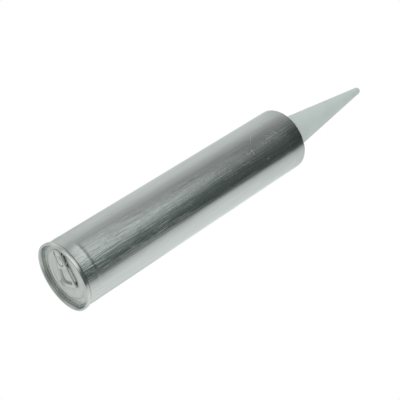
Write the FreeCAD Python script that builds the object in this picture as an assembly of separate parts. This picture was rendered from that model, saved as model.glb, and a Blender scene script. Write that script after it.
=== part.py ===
"""Sealant cartridge: a sealed aluminium can with a ring-pull end and a screw-on nozzle.

The can stands on its ring-pull end. Its axis is Z, with the nozzle up, and Z = 0 is the
plane of the rim that it stands on. The pull tab's nose points to -Y. Millimetres.
"""
import FreeCAD
import Part
import math
import os
from FreeCAD import Vector

# Barrel: one impact-extruded can, closed by its fill.
body_diameter = 50.0
body_length = 221.5          # from the standing rim to the front face
body_wall = 0.5
shoulder_radius = 2.5
fill_setback = 8.0           # depth of the fill's rear face, measured from the standing rim
bead_height = 11.0           # rolled bead, above the standing rim
bead_width = 2.4
bead_rise = 0.15

# Neck at the front of the barrel.
neck_diameter = 22.0
neck_length = 12.0
neck_seat_diameter = 31.0    # raised pad that the nozzle seats on
neck_seat_rise = 0.8
neck_lip = 1.2
neck_mouth_depth = 1.5
neck_chamfer = 0.6

# End lid, double-seamed to the barrel.
lid_sheet = 0.3
seam_height = 3.0
seam_stand_out = 0.8         # how far the seam stands out past the barrel
seam_roll = 0.55
seam_skirt_roll = 0.35
seam_cap = 0.8               # metal between the standing rim and the barrel's lip
countersink_depth = 5.2
countersink_width = 1.6
panel_depth = 3.6
panel_roll = 0.55
score_inset = 1.0            # from the panel's edge to the tear line
score_width = 0.4
score_depth = 0.12
finger_well_radius = 7.0
finger_well_depth = 0.8
finger_well_gap = 3.0        # from the ring's end back to the well's centre

# Pull tab: a curled ring that turns about the curl at its nose.
tab_length = 30.5
tab_nose_width = 9.0
tab_ring_width = 21.0
tab_nose_corner = 2.2
tab_ring_corner = 6.6
tab_thickness = 1.4
tab_web = 0.45
tab_lift = 0.7               # gap between the tab and the lid's panel
tab_nose_inset = 2.1         # from the panel's edge to the tab's nose
tab_band = 2.7               # width of the ring beside the finger hole
tab_rear_band = 3.8          # width of the ring's end
tab_bridge = 2.4             # sheet between the tongue's slot and the finger hole
hole_front_corner = 2.4
hole_rear_corner = 4.2
curl_width = 1.25            # curled edge around the thin web
edge_roll = 0.5

# Tongue and rivet, which hold the tab to the lid.
tongue_width = 5.6
tongue_length = 10.6
tongue_slot = 0.7
tongue_root_gap = 0.25
rivet_diameter = 3.2
rivet_head_diameter = 4.6
rivet_head_height = 0.45
rivet_from_root = 5.4
rivet_boss_diameter = 4.4    # raised place in the lid that carries the tongue

# Nozzle: one moulded cone, screwed over the neck.
nozzle_length = 96.4         # from its seat to its tip
nozzle_base_diameter = 27.2
nozzle_tip_radius = 2.5
nozzle_clearance = 0.15      # radial, over the neck
nozzle_bore_spare = 0.5      # room above the neck
nozzle_passage_step = 0.25
passage_tip_radius = 1.2
nozzle_closed_length = 6.0   # solid tip, cut off before use
collar_diameter = 28.8
collar_height = 9.0
collar_roll = 0.6
grip_ribs = 24
grip_rib_radius = 0.55
grip_rib_margin = 1.0

body_radius = body_diameter / 2
seam_radius = body_radius + seam_stand_out
lip_inner_radius = body_radius - body_wall
chuck_radius = lip_inner_radius - lid_sheet
panel_radius = chuck_radius - countersink_width
neck_radius = neck_diameter / 2
seat_level = body_length + neck_seat_rise
neck_top = seat_level + neck_length
nose_y = -(panel_radius - tab_nose_inset)
ring_end_y = nose_y + tab_length
curl_radius = tab_thickness / 2
tab_top = panel_depth - tab_lift          # the tab's face next to the panel
tab_bottom = tab_top - tab_thickness      # the tab's outer face, towards the rim
window_front = nose_y + 2 * curl_radius + tongue_root_gap
tongue_front = window_front + tongue_root_gap
tongue_rear = tongue_front + tongue_length
window_rear = tongue_rear + tongue_slot
rivet_y = tongue_front + rivet_from_root
SMALL = 1e-6


def rounded_loop(points, radii):
    """Closed wire through points, with a tangent arc of the given radius at each corner."""
    edges = []
    ends = []
    for i, corner in enumerate(points):
        before = (points[i - 1] - corner).normalize()
        after = (points[(i + 1) % len(points)] - corner).normalize()
        if radii[i] < SMALL:
            ends.append((corner, corner, None))
            continue
        half = before.getAngle(after) / 2
        reach = radii[i] / math.tan(half)
        middle = (before + after).normalize() * (radii[i] / math.sin(half) - radii[i])
        ends.append((corner + before * reach, corner + after * reach, corner + middle))
    for i, (start, end, through) in enumerate(ends):
        if through is not None:
            edges.append(Part.Arc(start, through, end).toShape())
        following = ends[(i + 1) % len(ends)][0]
        if end.distanceToPoint(following) > SMALL:
            edges.append(Part.LineSegment(end, following).toShape())
    return Part.Wire(edges)


def turned(profile):
    """Solid of revolution about Z from (radius, height, corner radius) rows."""
    points = [Vector(row[0], 0, row[1]) for row in profile]
    wire = rounded_loop(points, [row[2] for row in profile])
    return Part.Face(wire).revolve(Vector(0, 0, 0), Vector(0, 0, 1), 360)


def plate(outline, low, high):
    """Flat plate between two heights from (x, y, corner radius) rows."""
    points = [Vector(row[0], row[1], low) for row in outline]
    wire = rounded_loop(points, [row[2] for row in outline])
    return Part.Face(wire).extrude(Vector(0, 0, high - low))


def mirrored_outline(rows):
    """Outline that is symmetric about Y, from its (half width, y, corner radius) rows."""
    right = [(half, y, corner) for half, y, corner in rows]
    left = [(-half, y, corner) for half, y, corner in reversed(rows)]
    return right + left


def tab_half_width(y):
    """Half the tab's width at a place along it."""
    share = (y - nose_y) / tab_length
    return (tab_nose_width + (tab_ring_width - tab_nose_width) * share) / 2


def make_barrel():
    """Sealed can: wall, front face and neck with the fill, as one solid."""
    outer = turned([
        (0, seam_cap, 0),
        (body_radius, seam_cap, 0),
        (body_radius, body_length, shoulder_radius),
        (neck_seat_diameter / 2, body_length, 0),
        (neck_seat_diameter / 2, seat_level, neck_seat_rise / 3),
        (neck_radius, seat_level, 0),
        (neck_radius, neck_top, neck_chamfer),
        (neck_radius - neck_lip, neck_top, neck_lip / 4),
        (neck_radius - neck_lip, neck_top - neck_mouth_depth, 0),
        (0, neck_top - neck_mouth_depth, 0),
    ])
    bead = turned([
        (lip_inner_radius, bead_height - bead_width / 2, 0),
        (body_radius, bead_height - bead_width / 2, 0),
        (body_radius + bead_rise, bead_height, bead_width),
        (body_radius, bead_height + bead_width / 2, 0),
        (lip_inner_radius, bead_height + bead_width / 2, 0),
    ])
    rear_hollow = Part.makeCylinder(lip_inner_radius, fill_setback - seam_cap, Vector(0, 0, seam_cap))
    return outer.fuse(bead).cut(rear_hollow).removeSplitter()


def make_lid():
    """Ring-pull end: seam, countersink, scored panel, finger well and drawn rivet."""
    score_radius = panel_radius - score_inset
    inner_roll = max(panel_roll - lid_sheet, lid_sheet / 2)
    lid = turned([
        (0, panel_depth, 0),
        (score_radius - score_width / 2, panel_depth, 0),
        (score_radius, panel_depth + score_depth, 0),
        (score_radius + score_width / 2, panel_depth, 0),
        (panel_radius, panel_depth, panel_roll),
        (panel_radius, countersink_depth, countersink_width * 0.48),
        (chuck_radius, countersink_depth, countersink_width * 0.48),
        (chuck_radius, 0, seam_roll),
        (seam_radius, 0, seam_roll),
        (seam_radius, seam_height, seam_skirt_roll),
        (body_radius, seam_height, 0),
        (body_radius, seam_cap, 0),
        (lip_inner_radius, seam_cap, 0),
        (lip_inner_radius, countersink_depth + lid_sheet, countersink_width * 0.48 + lid_sheet),
        (panel_radius - lid_sheet, countersink_depth + lid_sheet, countersink_width * 0.48 + lid_sheet),
        (panel_radius - lid_sheet, panel_depth + lid_sheet, inner_roll),
        (0, panel_depth + lid_sheet, 0),
    ])
    well_y = ring_end_y - finger_well_gap
    well_sphere = (finger_well_radius ** 2 + finger_well_depth ** 2) / (2 * finger_well_depth)
    well_centre = Vector(0, well_y, panel_depth + finger_well_depth - well_sphere)
    reach = finger_well_radius + 2 * lid_sheet
    dish = Part.makeCylinder(
        reach, finger_well_depth + 2 * lid_sheet, Vector(0, well_y, panel_depth + lid_sheet / 2))
    dish = dish.common(Part.makeSphere(well_sphere + lid_sheet, well_centre))
    lid = lid.fuse(dish).cut(Part.makeSphere(well_sphere, well_centre))
    boss = Part.makeCylinder(
        rivet_boss_diameter / 2, panel_depth + lid_sheet / 2 - tab_top, Vector(0, rivet_y, tab_top))
    shank_top = panel_depth + lid_sheet / 2
    shank_bottom = tab_top - tab_web
    shank = Part.makeCylinder(
        rivet_diameter / 2, shank_top - shank_bottom, Vector(0, rivet_y, shank_bottom))
    head = Part.makeCylinder(
        rivet_head_diameter / 2, rivet_head_height, Vector(0, rivet_y, shank_bottom - rivet_head_height))
    head_edge = [e for e in head.Edges if abs(e.BoundBox.ZMax - head.BoundBox.ZMin) < SMALL]
    head = head.makeFillet(rivet_head_height * 0.6, head_edge)
    return lid.fuse([boss, shank, head]).removeSplitter()


def make_tongue():
    """Flat tongue of the tab's sheet, held down by the rivet."""
    half = tongue_width / 2
    tongue = plate(mirrored_outline([
        (half, tongue_front, 0),
        (half, tongue_rear, half * 0.96),
    ]), tab_top - tab_web, tab_top)
    hole = Part.makeCylinder(rivet_diameter / 2, tab_thickness * 2, Vector(0, rivet_y, tab_bottom))
    return tongue.cut(hole)


def make_pull_tab():
    """Ring with a curled edge, a finger hole and a window for the tongue."""
    outline = [
        (tab_half_width(nose_y), nose_y, tab_nose_corner),
        (tab_half_width(ring_end_y), ring_end_y, tab_ring_corner),
    ]
    tab = plate(mirrored_outline(outline), tab_bottom, tab_top)
    rims = [e for e in tab.Edges if e.BoundBox.ZLength < SMALL]
    tab = tab.makeFillet(edge_roll, rims)
    half = tongue_width / 2 + tongue_slot
    window = plate(mirrored_outline([
        (half, window_front, 0),
        (half, window_rear, half * 0.96),
    ]), tab_bottom - 1, tab_top + 1)
    hole_front = window_rear + tab_bridge
    hole_rear = ring_end_y - tab_rear_band
    hole = plate(mirrored_outline([
        (tab_half_width(hole_front) - tab_band, hole_front, hole_front_corner),
        (tab_half_width(hole_rear) - tab_band, hole_rear, hole_rear_corner),
    ]), tab_bottom - 1, tab_top + 1)
    web_front = nose_y + 2 * curl_radius
    web_rear = hole_front - curl_width
    pocket = plate(mirrored_outline([
        (tab_half_width(web_front) - curl_width, web_front, tab_nose_corner / 2),
        (tab_half_width(web_rear) - curl_width, web_rear, tab_nose_corner / 2),
    ]), tab_bottom - 1, tab_top - tab_web)
    return tab.cut(hole).cut(pocket).cut(window).removeSplitter()


def make_nozzle():
    """Closed-tip cone with a threaded base, drawn plain where the thread runs, and a ribbed collar."""
    tip_top = seat_level + nozzle_length
    bore_radius = neck_radius + nozzle_clearance
    bore_top = neck_top + nozzle_bore_spare
    passage_end = tip_top - nozzle_closed_length
    nozzle = turned([
        (bore_radius, seat_level, 0),
        (collar_diameter / 2, seat_level, collar_roll),
        (collar_diameter / 2, seat_level + collar_height, collar_roll),
        (nozzle_base_diameter / 2 - collar_roll, seat_level + collar_height, 0),
        (nozzle_tip_radius, tip_top, nozzle_tip_radius * 0.8),
        (0, tip_top, 0),
        (0, passage_end, 0),
        (passage_tip_radius, passage_end, 0),
        (bore_radius - nozzle_passage_step, bore_top, 0),
        (bore_radius, bore_top, 0),
    ])
    rib_length = collar_height - 2 * grip_rib_margin
    ribs = []
    for i in range(grip_ribs):
        turn = 2 * math.pi * i / grip_ribs
        foot = Vector(
            collar_diameter / 2 * math.cos(turn),
            collar_diameter / 2 * math.sin(turn),
            seat_level + grip_rib_margin)
        ribs.append(Part.makeCylinder(grip_rib_radius, rib_length, foot))
    return nozzle.fuse(ribs).removeSplitter()


PARTS = {
    "barrel": make_barrel,
    "end_lid": make_lid,
    "tab_tongue": make_tongue,
    "pull_tab": make_pull_tab,
    "nozzle": make_nozzle,
}

os.makedirs("parts", exist_ok=True)
for name, make in PARTS.items():
    shape = make()
    print(name, "solids", len(shape.Solids), "valid", shape.isValid(), "mm3", round(shape.Volume, 1))
    shape.exportStep("parts/" + name + ".step")
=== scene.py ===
# %% [markdown]
# # A sealant cartridge
# The object is a bare aluminium can that holds sealant. One end has a ring-pull lid, like
# a food can, and the other has a neck with a long plastic nozzle screwed over it. The CAD
# model has the sizes and the moving parts. This script gives the pieces their surfaces.

# %% Load the CAD frame
import math

import bmesh
import bpy
from mathutils import Matrix, Vector


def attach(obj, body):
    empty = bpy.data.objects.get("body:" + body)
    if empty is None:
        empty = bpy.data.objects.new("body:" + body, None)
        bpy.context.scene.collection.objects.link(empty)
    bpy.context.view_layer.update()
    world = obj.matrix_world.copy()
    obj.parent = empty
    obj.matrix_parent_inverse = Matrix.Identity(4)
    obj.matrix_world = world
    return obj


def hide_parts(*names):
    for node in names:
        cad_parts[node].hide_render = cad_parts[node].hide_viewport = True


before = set(bpy.data.objects)
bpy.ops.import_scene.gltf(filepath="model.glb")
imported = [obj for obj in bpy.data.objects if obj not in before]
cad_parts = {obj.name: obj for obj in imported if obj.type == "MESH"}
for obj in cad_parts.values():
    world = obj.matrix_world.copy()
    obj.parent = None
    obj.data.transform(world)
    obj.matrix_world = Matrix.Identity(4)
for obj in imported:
    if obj.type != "MESH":
        bpy.data.objects.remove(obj)
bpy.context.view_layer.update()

# %% [markdown]
# ## Sizes
# Blender works in metres here, in the CAD's frame: the can's axis is Z and the rim that
# it stands on is at Z = 0. These are the CAD's own sizes, written once.

# %% Sizes
mm = 0.001
CAN_RADIUS = 25.0
BODY_TOP = 221.5      # front face of the can
SEAT = 222.3          # where the nozzle sits
NECK_TOP = 234.3
NOZZLE_TOP = 318.7
PANEL = 3.6           # how far the lid's panel lies inside the rim
RIVET_Y = -13.2
RING_END_Y = 10.0
GRIP_RIBS = 24
LOOK = -8.0           # degrees that the camera and the room are turned about the can


# %% [markdown]
# ## Turned pieces
# The can, its lid and its nozzle are all round, so each is a thin outline that is spun
# about the axis. The outline starts as a few points. A vertex bevel rounds the corners
# before the spin, which is how a lathe drawing gets its radii.

# %% A helper that spins an outline
def corner_cut(bm, vert, radius):
    """Round one corner of the outline."""
    bmesh.ops.bevel(bm, geom=[vert], offset=radius * mm, offset_type="OFFSET",
                    affect="VERTICES", segments=6, profile=0.5, material=-1, clamp_overlap=True)


def outline_mesh(rows, closed=False):
    """Outline in the XZ plane from (radius, height, corner) rows in millimetres."""
    bm = bmesh.new()
    verts = [bm.verts.new((r * mm, 0, z * mm)) for r, z, _ in rows]
    for a, b in zip(verts, verts[1:]):
        bm.edges.new((a, b))
    if closed:
        bm.edges.new((verts[-1], verts[0]))
    for vert, row in zip(verts, rows):
        if row[2] > 0:
            corner_cut(bm, vert, row[2])
    return bm


def long_edges_cut(bm, longest):
    """Divide the outline's long runs, so that the spun quads aren't slivers."""
    for edge in [e for e in bm.edges if e.calc_length() > longest * mm]:
        cuts = int(edge.calc_length() / (longest * mm))
        bmesh.ops.subdivide_edges(bm, edges=[edge], cuts=cuts)


def spun(bm, steps):
    """Spin everything in the bmesh a full turn about Z."""
    bmesh.ops.spin(bm, geom=bm.verts[:] + bm.edges[:], cent=(0, 0, 0), axis=(0, 0, 1),
                   angle=2 * math.pi, steps=steps, use_merge=True)
    bmesh.ops.remove_doubles(bm, verts=bm.verts[:], dist=1e-7)
    bmesh.ops.dissolve_degenerate(bm, edges=bm.edges[:], dist=1e-8)
    bmesh.ops.recalc_face_normals(bm, faces=bm.faces[:])
    return bm


def add_to(bm, other):
    """Move another bmesh's parts into this one."""
    carrier = bpy.data.meshes.new("carrier")
    other.to_mesh(carrier)
    other.free()
    bm.from_mesh(carrier)
    bpy.data.meshes.remove(carrier)


def piece_from(bm, name, material, body, replaces=(), sharp=40):
    """Turn the bmesh into a finished object on a CAD body."""
    mesh = bpy.data.meshes.new(name)
    for face in bm.faces:
        face.smooth = True
    for edge in bm.edges:
        if len(edge.link_faces) == 2 and edge.calc_face_angle(0) > math.radians(sharp):
            edge.smooth = False
    bm.to_mesh(mesh)
    bm.free()
    mesh.materials.append(material)
    made = bpy.data.objects.new(name, mesh)
    bpy.context.scene.collection.objects.link(made)
    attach(made, body)
    if replaces:
        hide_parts(*replaces)
    print(name, "faces:", len(mesh.polygons))
    return made


# %% [markdown]
# ## Shader sums in plain Python
# A material is a graph of nodes. Written out node by node it is hard to read, so one
# small class wraps a socket. Adding or multiplying two of them adds the Math node.

# %% The socket class
class Wire:
    """A node socket that ordinary arithmetic works on."""

    def __init__(self, tree, socket=None):
        self.tree = tree
        self.socket = socket

    def node(self, kind, settings=None, values=None, out=0):
        """Add a node, set it up, fill or link its inputs, and return one output."""
        made = self.tree.nodes.new(kind)
        for name, value in (settings or {}).items():
            if name == "stops":
                ramp = made.color_ramp
                ramp.elements.remove(ramp.elements[1])
                ramp.elements[0].position, ramp.elements[0].color = value[0]
                for place, colour in value[1:]:
                    ramp.elements.new(place).color = colour
            else:
                setattr(made, name, value)
        for name, value in (values or {}).items():
            if isinstance(value, Wire):
                self.tree.links.new(value.socket, made.inputs[name])
            else:
                made.inputs[name].default_value = value
        return Wire(self.tree, made.outputs[out])

    def math(self, operation, *others):
        """A Math node with this socket as its first value."""
        values = {i: v for i, v in enumerate((self,) + others)}
        return self.node("ShaderNodeMath", {"operation": operation}, values)

    def __add__(self, other):
        return self.math("ADD", other)

    def __sub__(self, other):
        return self.math("SUBTRACT", other)

    def __mul__(self, other):
        return self.math("MULTIPLY", other)

    def __truediv__(self, other):
        return self.math("DIVIDE", other)

    def __rsub__(self, other):
        return self.node("ShaderNodeMath", {"operation": "SUBTRACT"}, {0: other, 1: self})

    __radd__ = __add__
    __rmul__ = __mul__

    def split(self):
        """The three parts of a vector."""
        made = self.tree.nodes.new("ShaderNodeSeparateXYZ")
        self.tree.links.new(self.socket, made.inputs[0])
        return [Wire(self.tree, output) for output in made.outputs]

    def between(self, low, high, to_low=0.0, to_high=1.0):
        """Smooth step from one value to another."""
        return self.node("ShaderNodeMapRange", {"interpolation_type": "SMOOTHSTEP"}, {
            "Value": self, "From Min": low, "From Max": high, "To Min": to_low, "To Max": to_high})

    def noise(self, scale, detail=2.0, roughness=0.5, stretch=(1, 1, 1), turn=(0, 0, 0)):
        """Noise on this vector, drawn out along an axis by a small stretch value."""
        place = self.node("ShaderNodeMapping", None, {
            "Vector": self, "Scale": stretch, "Rotation": tuple(math.radians(a) for a in turn)})
        return self.node("ShaderNodeTexNoise", None, {
            "Vector": place, "Scale": scale, "Detail": detail, "Roughness": roughness})

    def blend(self, low, high):
        """Mix two colours by this value."""
        return self.node("ShaderNodeMix", {"data_type": "RGBA"}, {0: self, 6: low, 7: high}, out=2)


def new_material(name, base=(0.8, 0.8, 0.8, 1), **fixed):
    """A Principled material with its fixed values, its tree and its shader node."""
    material = bpy.data.materials.new(name)
    material.use_nodes = True
    shader = material.node_tree.nodes["Principled BSDF"]
    shader.inputs["Base Color"].default_value = base
    for socket, value in fixed.items():
        shader.inputs[socket.replace("_", " ")].default_value = value
    start = Wire(material.node_tree)
    return material, start, shader


def feed(shader, socket, wire):
    """Link a result to the shader."""
    wire.tree.links.new(wire.socket, shader.inputs[socket])


# %% [markdown]
# ## Drawn aluminium
# The can is pushed out of a slug of aluminium in one blow, so its wall carries fine lines
# along its length. Handling adds dull clouds, rub marks and thin scratches. All of it is
# noise on Object coordinates: noise that is drawn out along Z gives the lines, and noise
# that is turned and drawn out gives the scratches.

# %% One straight scratch
MM_PER_DEGREE = math.pi * CAN_RADIUS / 180


def line_mark(arc, up, start, end, width=0.09):
    """One straight scratch between two (degrees, height) points on the wall, from 0 to 1."""
    a = Vector((start[0] * MM_PER_DEGREE, start[1]))
    b = Vector((end[0] * MM_PER_DEGREE, end[1]))
    length = (b - a).length
    along = (b - a) / length
    across = (arc - a.x) * -along.y + (up - a.y) * along.x
    run = (arc - a.x) * along.x + (up - a.y) * along.y
    inside = run.between(0, length * 0.15) * run.between(length, length * 0.8)
    return across.math("ABSOLUTE").between(width * 2.2, width * 0.4) * inside


# %% Loose scratches
def loose_scratches(at, scale, turn, low, high, patches):
    """Sparse thin lines in one direction, from 0 to 1."""
    lines = at.noise(scale, 1.0, 0.4, stretch=(1, 1, 0.045), turn=turn)
    return lines.between(low, high) * patches


# %% [markdown]
# ## Scratches that are seen one by one
# Each row is one scratch, as its start and its end. A place is the degrees round the
# wall and the millimetres up it, as they were read from the picture.

# %% The single scratches
SCRATCHES = [
    ((-45.1, 196.2), (-38.4, 197.3)), ((-44.6, 198.6), (-36.9, 200.9)),
    ((-38.9, 166.4), (-31.5, 167.2)), ((-38.5, 171.4), (-27.4, 171.6)),
    ((-33.0, 166.9), (-35.6, 172.5)), ((-35.4, 182.0), (-33.3, 191.5)),
    ((-22.9, 156.8), (-22.0, 165.7)), ((-35.4, 132.5), (-33.9, 142.8)),
    ((-32.5, 194.0), (-30.1, 199.8)), ((-9.4, 179.6), (-7.9, 183.2)),
    ((-66.0, 183.5), (-50.5, 176.3)), ((-40.7, 100.4), (-38.7, 106.5)),
    ((-30.0, 96.0), (-29.0, 112.0)), ((-37.0, 117.0), (-35.5, 129.0)),
    ((-27.5, 128.0), (-26.4, 147.0)), ((-19.0, 134.0), (-18.1, 152.0)),
]

print("single scratches:", len(SCRATCHES))

# %% [markdown]
# ## The can's finish
# The finish is put together in three steps: the noise that it is made of, the marks on
# it, and what these do to the colour, the roughness and the bump. One side of the can is
# more worn than the rest, most of all towards the ring-pull end.

# %% Noise for the aluminium
can_metal, at, shader = new_material("drawn_aluminium", Metallic=1.0)
here = at.node("ShaderNodeTexCoord", out=3)
axes = here.split()
theta = axes[1].math("ARCTAN2", axes[0]) * (180 / math.pi)
arc = theta * MM_PER_DEGREE
up = axes[2] * 1000
coarse_lines = here.noise(620, 3.0, 0.62, stretch=(1, 1, 0.022))
fine_lines = here.noise(1500, 2.0, 0.6, stretch=(1, 1, 0.03))
clouds = here.noise(34, 3.0, 0.6, stretch=(1, 1, 0.4))
rubs = here.noise(150, 3.0, 0.65, stretch=(1, 1, 0.45))
flecks = here.noise(1300, 2.0, 0.7, stretch=(1, 1, 0.3))
worn = theta.between(-64, -46) * theta.between(3, -10)
worn_back = worn * up.between(125, 60)

# %% Marks on the aluminium
patches = here.noise(60, 2.0, 0.6).between(0.5, 0.62) * (worn * 0.75 + 0.25)
loose = loose_scratches(here, 1000, (38, 12, 0), 0.67, 0.73, patches)
loose = loose + loose_scratches(here, 1100, (-31, 20, 40), 0.68, 0.74, patches)
placed = at.node("ShaderNodeValue")
placed.socket.default_value = 0.0
for start, end in SCRATCHES:
    placed = placed.math("MAXIMUM", line_mark(arc, up, start, end))
marks = (loose * 0.35).math("MAXIMUM", placed * 0.7)

# %% Colour, roughness and bump of the aluminium
lines = coarse_lines * 0.6 + fine_lines * 0.4
dull = clouds.between(0.44, 0.62)
tone = lines.between(0.38, 0.62, -0.05, 0.05) * (worn * 1.4 + 0.5) - dull * 0.05
tone = tone - rubs.between(0.52, 0.7) * (worn * 0.10 + 0.02)
# Painted shade: the colour darkens from 4.3 mm down to 3.3 mm and stays dark below, as a dark line where
# the wall meets the seam's groove.
seam_painted_shade = up.between(4.3, 3.3) * 0.55
tone = tone + flecks.between(0.55, 0.75) * worn * 0.10 + marks * 0.25 - seam_painted_shade + 0.80
feed(shader, "Base Color", tone.blend((0.10, 0.13, 0.12, 1), (0.96, 1.0, 0.985, 1)))
feed(shader, "Roughness", dull * 0.05 + rubs.between(0.45, 0.7) * 0.04 + worn * 0.05
     + marks * 0.25 + 0.12)
height = coarse_lines * (worn * 1.1 + worn_back * 0.9 + 0.35)
height = height + fine_lines * (worn * 1.0 + worn_back * 1.6 + 0.15)
height = height + rubs * 0.5 + flecks * worn * 0.25 - marks * 0.5
feed(shader, "Normal", at.node("ShaderNodeBump", None, {
    "Strength": 1.0, "Distance": 0.00008, "Height": height}))

# %% [markdown]
# ## Lid, tab and nozzle finishes
# The lid and the tab are bright rolled sheet: the lines are finer and the metal is paler.
# The nozzle is natural polyethylene, which is a cool grey-white with a soft sheen and a
# faint cloudiness from the moulding.

# %% Sheet metal for the lid and the tab
def sheet_metal(name, pale, dark, roughness):
    """Bright rolled sheet with faint rolling lines."""
    material, at, shader = new_material(name, Metallic=1.0)
    here = at.node("ShaderNodeTexCoord", out=3)
    rolled = here.noise(1500, 2.0, 0.55, stretch=(1, 0.05, 1))
    clouds = here.noise(150, 3.0, 0.6)
    tone = rolled * 0.5 + clouds.between(0.35, 0.65) * 0.5
    feed(shader, "Base Color", tone.blend(dark, pale))
    feed(shader, "Roughness", clouds.between(0.35, 0.7) * 0.08 + roughness)
    feed(shader, "Normal", at.node("ShaderNodeBump", None, {
        "Strength": 0.5, "Distance": 0.00002, "Height": rolled * 0.2 + clouds * 1.5}))
    return material


lid_metal = sheet_metal("lid_sheet", (0.9, 0.92, 0.9, 1), (0.76, 0.79, 0.77, 1), 0.15)
tab_metal = sheet_metal("tab_sheet", (0.96, 0.98, 0.95, 1), (0.86, 0.88, 0.86, 1), 0.2)

# %% Plastic for the nozzle
nozzle_plastic, at, shader = new_material("natural_plastic", Roughness=0.45)
shader.inputs["IOR"].default_value = 1.5
here = at.node("ShaderNodeTexCoord", out=3)
cloudy = here.noise(70, 3.0, 0.55)
grain = here.noise(2500, 2.0, 0.6)
feed(shader, "Base Color", cloudy.between(0.3, 0.7).blend(
    (0.53, 0.585, 0.565, 1), (0.56, 0.615, 0.595, 1)))
feed(shader, "Roughness", grain * 0.1 + 0.4)
feed(shader, "Normal", at.node("ShaderNodeBump", None, {
    "Strength": 0.4, "Distance": 0.00002, "Height": grain}))

# %% [markdown]
# ## The can
# One outline from the seam up over the bead and the shoulder, across the front face, and
# up the neck. The thread on the neck is a small triangle that is swept round it by a spin
# that also climbs, as a screw-cutting tool does.

# %% The can
can_rows = [
    (23.6, 2.2, 0), (24.9, 2.2, 0), (24.85, 3.2, 0), (25.15, 12.0, 0.8), (25.0, 13.6, 1.0),
    (25.0, BODY_TOP - 0.01, 2.5), (15.5, BODY_TOP, 0.3), (15.5, SEAT, 0.25), (10.9, SEAT, 0.2),
    (10.6, NECK_TOP, 0.5), (9.8, NECK_TOP, 0.3), (9.8, NECK_TOP - 1.5, 0.2), (0, NECK_TOP - 1.5, 0)]
bm = outline_mesh(can_rows)
long_edges_cut(bm, 14)
spun(bm, 192)
turns, pitch, steps = 4.5, 2.2, 180
ridge = outline_mesh([(10.55, SEAT + 1.2, 0), (11.0, SEAT + 1.6, 0), (11.0, SEAT + 1.8, 0),
                      (10.55, SEAT + 2.2, 0)], closed=True)
bmesh.ops.spin(ridge, geom=ridge.verts[:] + ridge.edges[:], cent=(0, 0, 0), axis=(0, 0, 1),
               dvec=(0, 0, pitch * turns * mm / steps), angle=turns * 2 * math.pi, steps=steps)
bmesh.ops.holes_fill(ridge, edges=[e for e in ridge.edges if len(e.link_faces) == 1], sides=4)
bmesh.ops.recalc_face_normals(ridge, faces=ridge.faces[:])
print("thread height, mm:", (max(v.co.z for v in ridge.verts) - min(v.co.z for v in ridge.verts)) / mm)
add_to(bm, ridge)
piece_from(bm, "can", can_metal, "can", ["barrel"])

# %% [markdown]
# ## The lid
# The lid is pressed from one disc and seamed over the can's edge. Its rim rolls outwards,
# a deep groove runs inside the rim, and the panel has a bead, the score that it tears
# along, and a finger well below the ring. The well is pressed in after the spin, by moving
# the points near it, as the press tool does.

# %% The lid
lid_rows = [
    (0, PANEL - 0.12, 0), (6, PANEL - 0.11, 0), (12, PANEL - 0.07, 0), (17.6, PANEL, 0.8),
    (18.5, PANEL - 0.28, 0.45), (19.4, PANEL - 0.28, 0.45), (20.3, PANEL, 0.6),
    (21.3, PANEL, 0), (21.6, PANEL + 0.14, 0), (21.9, PANEL, 0), (22.6, PANEL, 0.5),
    (22.6, 5.2, 0.75), (24.2, 5.2, 0.75), (24.2, 0.0, 0.45), (25.8, 0.0, 0.45),
    (25.8, 3.0, 0.4), (25.05, 3.05, 0.15), (24.8, 3.2, 0)]
bm = outline_mesh(lid_rows)
long_edges_cut(bm, 0.9)
spun(bm, 192)
well_radius, well_depth = 8.0, 0.3
well = Vector((0, RING_END_Y - 3.0, 0)) * mm
for vert in bm.verts:
    if vert.co.z < 4.2 * mm and vert.co.length < 20.5 * mm:
        reach = (Vector((vert.co.x, vert.co.y, 0)) - well).length / (well_radius * mm)
        if reach < 1:
            vert.co.z += well_depth * mm * (1 - reach * reach) ** 2
rivet = outline_mesh([
    (2.6, PANEL + 0.1, 0), (2.2, PANEL - 0.2, 0.2), (2.2, 2.9, 0.1), (1.6, 2.9, 0), (1.6, 2.45, 0),
    (2.3, 2.44, 0.12), (2.25, 2.02, 0.2), (1.0, 1.98, 0.3), (0, 2.12, 0)])
spun(rivet, 48)
bmesh.ops.translate(rivet, verts=rivet.verts[:], vec=(0, RIVET_Y * mm, 0))
add_to(bm, rivet)
piece_from(bm, "lid", lid_metal, "can", ["end_lid"], sharp=50)

# %% [markdown]
# ## The nozzle
# The nozzle is one moulding, hollow down to a solid tip that is cut off before use. Its
# collar has small ribs for grip. One rib is made, and a spin with copies sets the rest
# round the collar. A low bump near the tip is the mark that the mould leaves.

# %% The nozzle
nozzle_rows = [
    (0, NOZZLE_TOP - 6, 0), (1.2, NOZZLE_TOP - 6, 0), (10.9, NECK_TOP + 0.5, 0.4), (11.15, NECK_TOP, 0),
    (11.15, SEAT, 0.2), (14.4, SEAT, 0.5), (14.4, SEAT + 9, 0.55), (13.1, SEAT + 9.1, 0.3),
    (2.55, NOZZLE_TOP - 0.15, 1.9), (0, NOZZLE_TOP, 0)]
bm = outline_mesh(nozzle_rows)
long_edges_cut(bm, 12)
spun(bm, 128)
rib = bmesh.new()
bmesh.ops.create_cone(rib, cap_ends=True, segments=12, radius1=0.55 * mm, radius2=0.55 * mm, depth=7 * mm)
ends = [e for e in rib.edges if abs(e.verts[0].co.z - e.verts[1].co.z) < 1e-6]
bmesh.ops.bevel(rib, geom=ends, offset=0.2 * mm, offset_type="OFFSET", affect="EDGES",
                segments=2, profile=0.5, material=-1)
bmesh.ops.translate(rib, verts=rib.verts[:], vec=(14.4 * mm, 0, (SEAT + 4.5) * mm))
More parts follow.
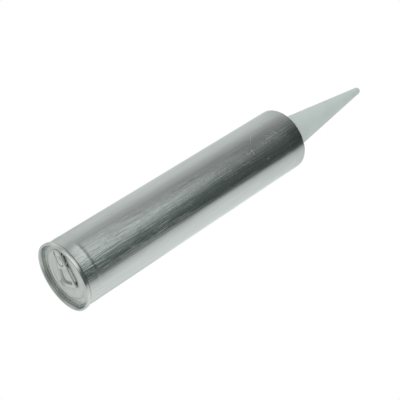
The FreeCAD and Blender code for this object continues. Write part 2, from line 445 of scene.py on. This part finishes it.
bmesh.ops.spin(rib, geom=rib.verts[:] + rib.edges[:] + rib.faces[:], cent=(0, 0, 0), axis=(0, 0, 1),
               angle=2 * math.pi * (GRIP_RIBS - 1) / GRIP_RIBS, steps=GRIP_RIBS - 1,
               use_duplicate=True)
add_to(bm, rib)
gate_mark = Vector((-1.4, -2.6, NOZZLE_TOP - 9)) * mm
for vert in bm.verts:
    bump = (vert.co - gate_mark).length / (2.2 * mm)
    if bump < 1 and vert.co.z > (NOZZLE_TOP - 14) * mm:
        vert.co += Vector((vert.co.x, vert.co.y, 0)).normalized() * 0.25 * mm * (1 - bump * bump)
piece_from(bm, "nozzle_cone", nozzle_plastic, "nozzle_body", ["nozzle"])

# %% [markdown]
# ## The pull tab
# The tab is stamped from thin sheet, and its edges are curled over so that they don't cut
# the finger. Each curl is a round bead along a closed line, so it is a curve with a bevel.
# The sheet between the curls is filled between three loops: the tab's outline, the finger
# hole, and the window round the tongue. Filling loops with an operator leaves the two
# holes open by itself.

# %% Loops for the tab
def loop_mesh(rows, level):
    """Closed loop that is symmetric about Y, from (half width, y, corner) rows in millimetres."""
    bm = bmesh.new()
    rows = list(rows) + [(-half, y, corner) for half, y, corner in reversed(rows)]
    verts = [bm.verts.new((x * mm, y * mm, level * mm)) for x, y, _ in rows]
    for a, b in zip(verts, verts[1:] + verts[:1]):
        bm.edges.new((a, b))
    for vert, row in zip(verts, rows):
        if row[2] > 0:
            corner_cut(bm, vert, row[2])
    return bm


def bead_along(loop, radius):
    """Round bead along a closed loop, as its own bmesh."""
    edge = next(iter(loop.edges))
    points, vert = [edge.verts[0].co.copy()], edge.verts[1]
    while (vert.co - points[0]).length > 1e-9:
        points.append(vert.co.copy())
        edge = next(e for e in vert.link_edges if e != edge)
        vert = edge.other_vert(vert)
    line = bpy.data.curves.new("bead", "CURVE")
    line.dimensions = "3D"
    line.bevel_depth = radius * mm
    line.bevel_resolution = 4
    spline = line.splines.new("POLY")
    spline.points.add(len(points) - 1)
    for target, point in zip(spline.points, points):
        target.co = (*point, 1)
    spline.use_cyclic_u = True
    holder = bpy.data.objects.new("bead", line)
    bead = bmesh.new()
    swept = bpy.data.meshes.new_from_object(holder)
    bead.from_mesh(swept)
    bpy.data.objects.remove(holder)
    bpy.data.curves.remove(line)
    bpy.data.meshes.remove(swept)
    bmesh.ops.remove_doubles(bead, verts=bead.verts[:], dist=1e-7)
    bmesh.ops.recalc_face_normals(bead, faces=bead.faces[:])
    print("bead points:", len(points))
    return bead


# %% The pull tab
outer = [(3.75, -19.8, 1.6), (9.75, 9.3, 5.4)]
hole = [(5.2, -5.3, 2.8), (7.4, 6.6, 4.4)]
window = [(3.5, -18.9, 0.2), (3.5, -7.3, 3.3)]
bm = bmesh.new()
for rows in (outer, hole, window):
    add_to(bm, loop_mesh(rows, 2.45))
bmesh.ops.triangle_fill(bm, edges=bm.edges[:], use_beauty=True, use_dissolve=False)
web = bmesh.ops.extrude_face_region(bm, geom=bm.faces[:])
raised = [item for item in web["geom"] if isinstance(item, bmesh.types.BMVert)]
bmesh.ops.translate(bm, verts=raised, vec=(0, 0, 0.45 * mm))
bmesh.ops.recalc_face_normals(bm, faces=bm.faces[:])
add_to(bm, bead_along(loop_mesh(outer, 2.2), 0.7))
add_to(bm, bead_along(loop_mesh(hole, 2.45), 0.4))
piece_from(bm, "ring_tab", tab_metal, "tab", ["pull_tab"], sharp=50)

# %% [markdown]
# ## The tongue
# The tongue keeps its CAD shape under the rivet, and takes the tab's finish.

# %% Finish on the tongue
tongue = bpy.data.objects["tab_tongue"]
for held in tongue.material_slots:
    held.material = tab_metal
print("tab_tongue slots:", len(tongue.material_slots))

# %% [markdown]
# ## The room
# Bare metal shows the room, so the room is what lights this picture. The world is a
# studio: a pale wall all round, with one dark side that gives the can its dark band. The
# camera itself sees plain white.

# %% Directions in the room
world = bpy.data.worlds.new("studio")
bpy.context.scene.world = world
world.use_nodes = True
tree = world.node_tree
tree.nodes.clear()
room = Wire(tree)
direction = room.node("ShaderNodeTexCoord", out=0)
side_x, side_y, rise = direction.split()
turn = (side_y.math("ARCTAN2", side_x) / (2 * math.pi) + (0.5 - LOOK / 360)).math("FRACT")


# %% Colours of the room
def grey(level, red=0.97):
    """A grey with a little less red, as the photograph's light has."""
    return (level * red, level, level * (red + 3) / 4, 1)


def stop(degrees, level, red=0.97):
    """A ramp stop at an azimuth in degrees."""
    return ((degrees + 180) / 360, grey(level, red))


# %% The wall of the room
shifted = turn - rise.between(0.58, 0.635) * 0.018
wall = turn.node("ShaderNodeValToRGB", {"stops": [
    stop(-180, 0.66), stop(-150, 0.62), stop(-128, 0.60), stop(-112, 0.53), stop(-97, 0.40),
    stop(-82, 0.30), stop(-66, 0.21), stop(-48, 0.14, 0.9), stop(-30, 0.105, 0.84), stop(-8, 0.115, 0.8),
    stop(18, 0.09, 0.78), stop(36, 0.055, 0.8), stop(45, 0.44), stop(56, 0.60), stop(78, 0.69),
    stop(112, 0.72), stop(130, 0.77), stop(146, 0.88), stop(158, 1.0), stop(172, 0.80),
]}, {"Fac": shifted})

# %% Where the wall is dimmer
high = rise.between(0.5, 0.64) * turn.between(0.38, 0.45) * turn.between(0.62, 0.58)
behind = turn.between(0.12, 0.04) + turn.between(0.95, 0.99)
dimmed = (high * -0.62 + 1.0) * rise.between(0.74, 0.9, 1.0, 0.45) * rise.between(0.6, 0.68, 1.0, 0.86)
dimmed = dimmed * (turn.between(0.82, 0.87) * rise.between(0.53, 0.46) * -0.2 + 1.0)
dimmed = dimmed * (behind * rise.between(0.5, 0.42) * -0.2 + 1.0) * rise.between(0.2, -0.3, 1.0, 0.78)
wall = (rise.between(0.25, 0.0) * 0.3).blend(wall, grey(0.9))
wall = room.node("ShaderNodeVectorMath", {"operation": "SCALE"}, {0: wall, "Scale": dimmed})

# %% [markdown]
# ## Two lights in the room
# A window stands in front of the dark side and gives the worn band its sheen. A low
# strip is mirrored only where the can flares out below its bead.

# %% The window and the strip
low_cut = rise.between(0.408, 0.424)
window = turn.between(0.315, 0.39) * turn.between(0.49, 0.41) * rise.between(0.59, 0.52)
strip = turn.between(0.22, 0.32) * turn.between(0.51, 0.41) * rise.between(0.416, 0.402)
strip = strip * rise.between(0.2, 0.3)
lights = window * (low_cut * 0.34 + 0.14) + strip
mirrored = room.node("ShaderNodeMix", {"data_type": "RGBA", "blend_type": "ADD"}, {
    0: lights, 6: wall, 7: grey(1.0)}, out=2)

# %% What each ray meets
path = tree.nodes.new("ShaderNodeLightPath")
seen = Wire(tree, path.outputs["Is Camera Ray"])
glossy = Wire(tree, path.outputs["Is Glossy Ray"])
plain = glossy.blend(grey(0.88), mirrored)
shown = seen.blend(plain, (1, 1, 1, 1))
back = room.node("ShaderNodeBackground", None, {"Color": shown, "Strength": 1.0})
out = tree.nodes.new("ShaderNodeOutputWorld")
tree.links.new(back.socket, out.inputs[0])

# %% [markdown]
# ## Floor
# The can stands on its rim on a white floor that keeps its shadow. The picture is taken
# from lower than the rim, so from underneath the floor is clear.

# %% Floor
floor_white, at, shader = new_material("floor_white", (0.9, 0.9, 0.9, 1), Roughness=0.9)
under = at.node("ShaderNodeNewGeometry", out="Backfacing")
seen = at.node("ShaderNodeLightPath", out="Is Camera Ray")
feed(shader, "Emission Color", seen.blend((0, 0, 0, 1), (0.26, 0.26, 0.26, 1)))
shader.inputs["Emission Strength"].default_value = 1.0
clear = at.node("ShaderNodeBsdfTransparent")
mixed = floor_white.node_tree.nodes.new("ShaderNodeMixShader")
floor_tree = floor_white.node_tree
floor_tree.links.new(under.socket, mixed.inputs[0])
floor_tree.links.new(shader.outputs[0], mixed.inputs[1])
floor_tree.links.new(clear.socket, mixed.inputs[2])
floor_tree.links.new(mixed.outputs[0], floor_tree.nodes["Material Output"].inputs[0])
bm = bmesh.new()
bmesh.ops.create_grid(bm, x_segments=1, y_segments=1, size=6)
mesh = bpy.data.meshes.new("floor")
bm.to_mesh(mesh)
bm.free()
mesh.materials.append(floor_white)
floor = bpy.data.objects.new("floor", mesh)
bpy.context.scene.collection.objects.link(floor)
for ray in ("visible_diffuse", "visible_glossy", "visible_shadow", "visible_transmission"):
    setattr(floor, ray, False)

# %% Lamp
lamp = bpy.data.lights.new("soft_box", "AREA")
lamp.size = 0.5
lamp.energy = 1.2
soft_box = bpy.data.objects.new("soft_box", lamp)
soft_box.location = (-0.25, -0.65, 0.75)
aim = Vector((0, 0, 0.12)) - soft_box.location
soft_box.rotation_euler = aim.to_track_quat("-Z", "Y").to_euler()
soft_box.visible_glossy = False
bpy.context.scene.collection.objects.link(soft_box)

# %% [markdown]
# ## Camera
# The picture looks at the ring-pull end, and the nozzle runs away to the upper right.

# %% Camera
RIGHT = Vector((0.60803, 0.36678, 0.70411))
UP = Vector((0.01313, -0.89141, 0.45301))
AHEAD = Vector((-0.79381, 0.26619, 0.54682))
camera_data = bpy.data.cameras.new("camera")
camera_data.lens = 91.85
camera_data.sensor_width = 36.0
camera_data.clip_start = 0.01
camera = bpy.data.objects.new("camera", camera_data)
turned_to = Matrix((RIGHT, UP, -AHEAD)).transposed().to_4x4()
about_can = Matrix.Rotation(math.radians(LOOK), 4, "Z")
camera.matrix_world = about_can @ Matrix.Translation((0.5971, -0.1940, -0.2842)) @ turned_to
bpy.context.scene.collection.objects.link(camera)
bpy.context.scene.camera = camera

# %% Colours as they are written
bpy.context.scene.view_settings.view_transform = "Standard"
